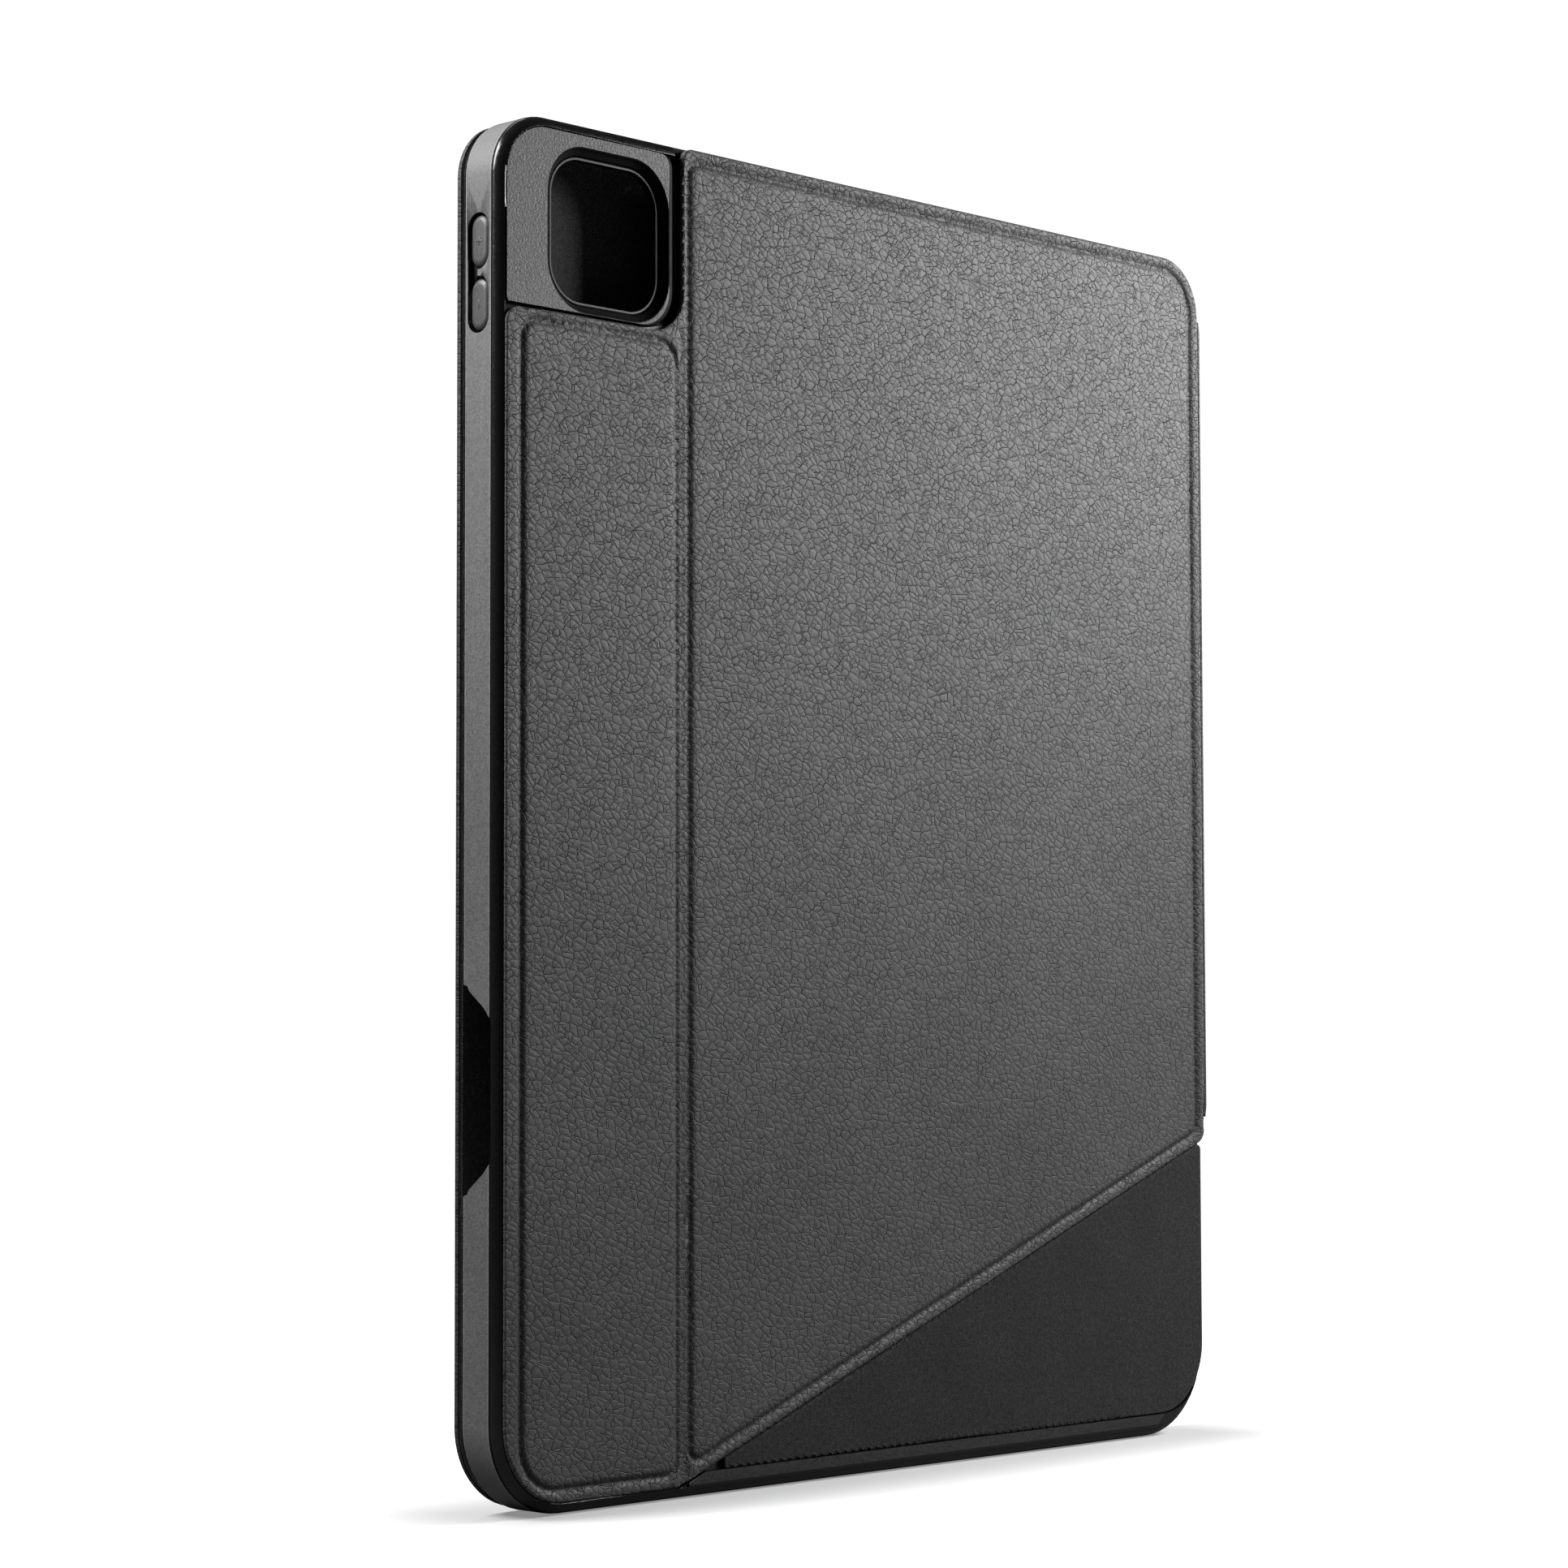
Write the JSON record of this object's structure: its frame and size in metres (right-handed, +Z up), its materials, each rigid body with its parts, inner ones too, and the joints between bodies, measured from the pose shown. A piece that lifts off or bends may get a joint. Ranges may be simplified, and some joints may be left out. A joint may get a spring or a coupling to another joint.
{
  "type": "tablet case",
  "caption": "Folio tablet case: moulded tray with a stylus channel, wrap-round front cover, fold-out kickstand flap, camera cut-out and sprung button caps.",
  "frame": {"origin": "centre of the footprint at the bottom edge", "axes": "+Z up the tall side, -Y out of the leather back, +Y out of the front cover, -X out of the stylus side, +X out of the spine side"},
  "size_m": [0.2312, 0.014, 0.286],
  "materials": {
    "moulded_plastic": "satin moulded plastic with a polished back edge",
    "textured_plastic": "fine sand texture",
    "soft_ring": "smooth matte",
    "pu_leather": "pebbled synthetic leather, padded and embossed",
    "woven_panel": "fine dense weave",
    "microfibre": "brushed microfibre",
    "stiffener": "plain fibre-filled sheet",
    "magnet": "nickel plated",
    "keeper_steel": "plain rolled steel"
  },
  "bodies": {
    "tray": {"bumper_frame": "moulded_plastic", "back_plate": "textured_plastic", "camera_ring": "soft_ring", "tray_lining": "microfibre", "strip_leather": "pu_leather", "strip_board": "stiffener", "corner_fabric": "woven_panel", "corner_board": "stiffener", "keeper_plate_1": "keeper_steel", "keeper_plate_2": "keeper_steel", "keeper_plate_3": "keeper_steel", "keeper_plate_4": "keeper_steel"},
    "kickstand": {"flap_leather": "pu_leather", "flap_board": "stiffener", "flap_lining": "microfibre", "flap_magnet_1": "magnet", "flap_magnet_2": "magnet", "flap_magnet_3": "magnet", "flap_magnet_4": "magnet"},
    "spine": {"spine_leather": "pu_leather", "spine_board": "stiffener", "spine_lining": "microfibre"},
    "front_cover": {"cover_leather": "pu_leather", "cover_board": "stiffener", "cover_lining": "microfibre", "cover_magnet_1": "magnet", "cover_magnet_2": "magnet", "cover_magnet_3": "magnet", "sleep_magnet": "magnet"},
    "volume_up": {"volume_up_button": "moulded_plastic"},
    "volume_down": {"volume_down_button": "moulded_plastic"},
    "power": {"power_button": "moulded_plastic"}
  },
  "joints": [
    {"name": "kickstand_fold", "type": "hinge", "parent": "tray", "child": "kickstand", "pos_m": [-0.06392, -0.007, 0.143], "axis": [0, 0, 1], "range_deg": [-120, 0]},
    {"name": "spine_fold", "type": "hinge", "parent": "tray", "child": "spine", "pos_m": [0.11563, -0.007, 0.143], "axis": [0, 0, -1], "range_deg": [0, 264]},
    {"name": "cover_fold", "type": "hinge", "parent": "spine", "child": "front_cover", "pos_m": [0.11563, 0.007, 0.143], "axis": [0, 0, -1], "range_deg": [0, 88.5]},
    {"name": "volume_up_press", "type": "slide", "parent": "tray", "child": "volume_up", "axis": [1, 0, 0], "range_m": [0, 0.0006], "stiffness_N_per_m": 800},
    {"name": "volume_down_press", "type": "slide", "parent": "tray", "child": "volume_down", "axis": [1, 0, 0], "range_m": [0, 0.0006], "stiffness_N_per_m": 800},
    {"name": "power_press", "type": "slide", "parent": "tray", "child": "power", "axis": [0, 0, -1], "range_m": [0, 0.0005], "stiffness_N_per_m": 800}
  ],
  "couplings": [
    {"joint": "cover_fold", "follows": "spine_fold", "ratio": 0.33333}
  ]
}
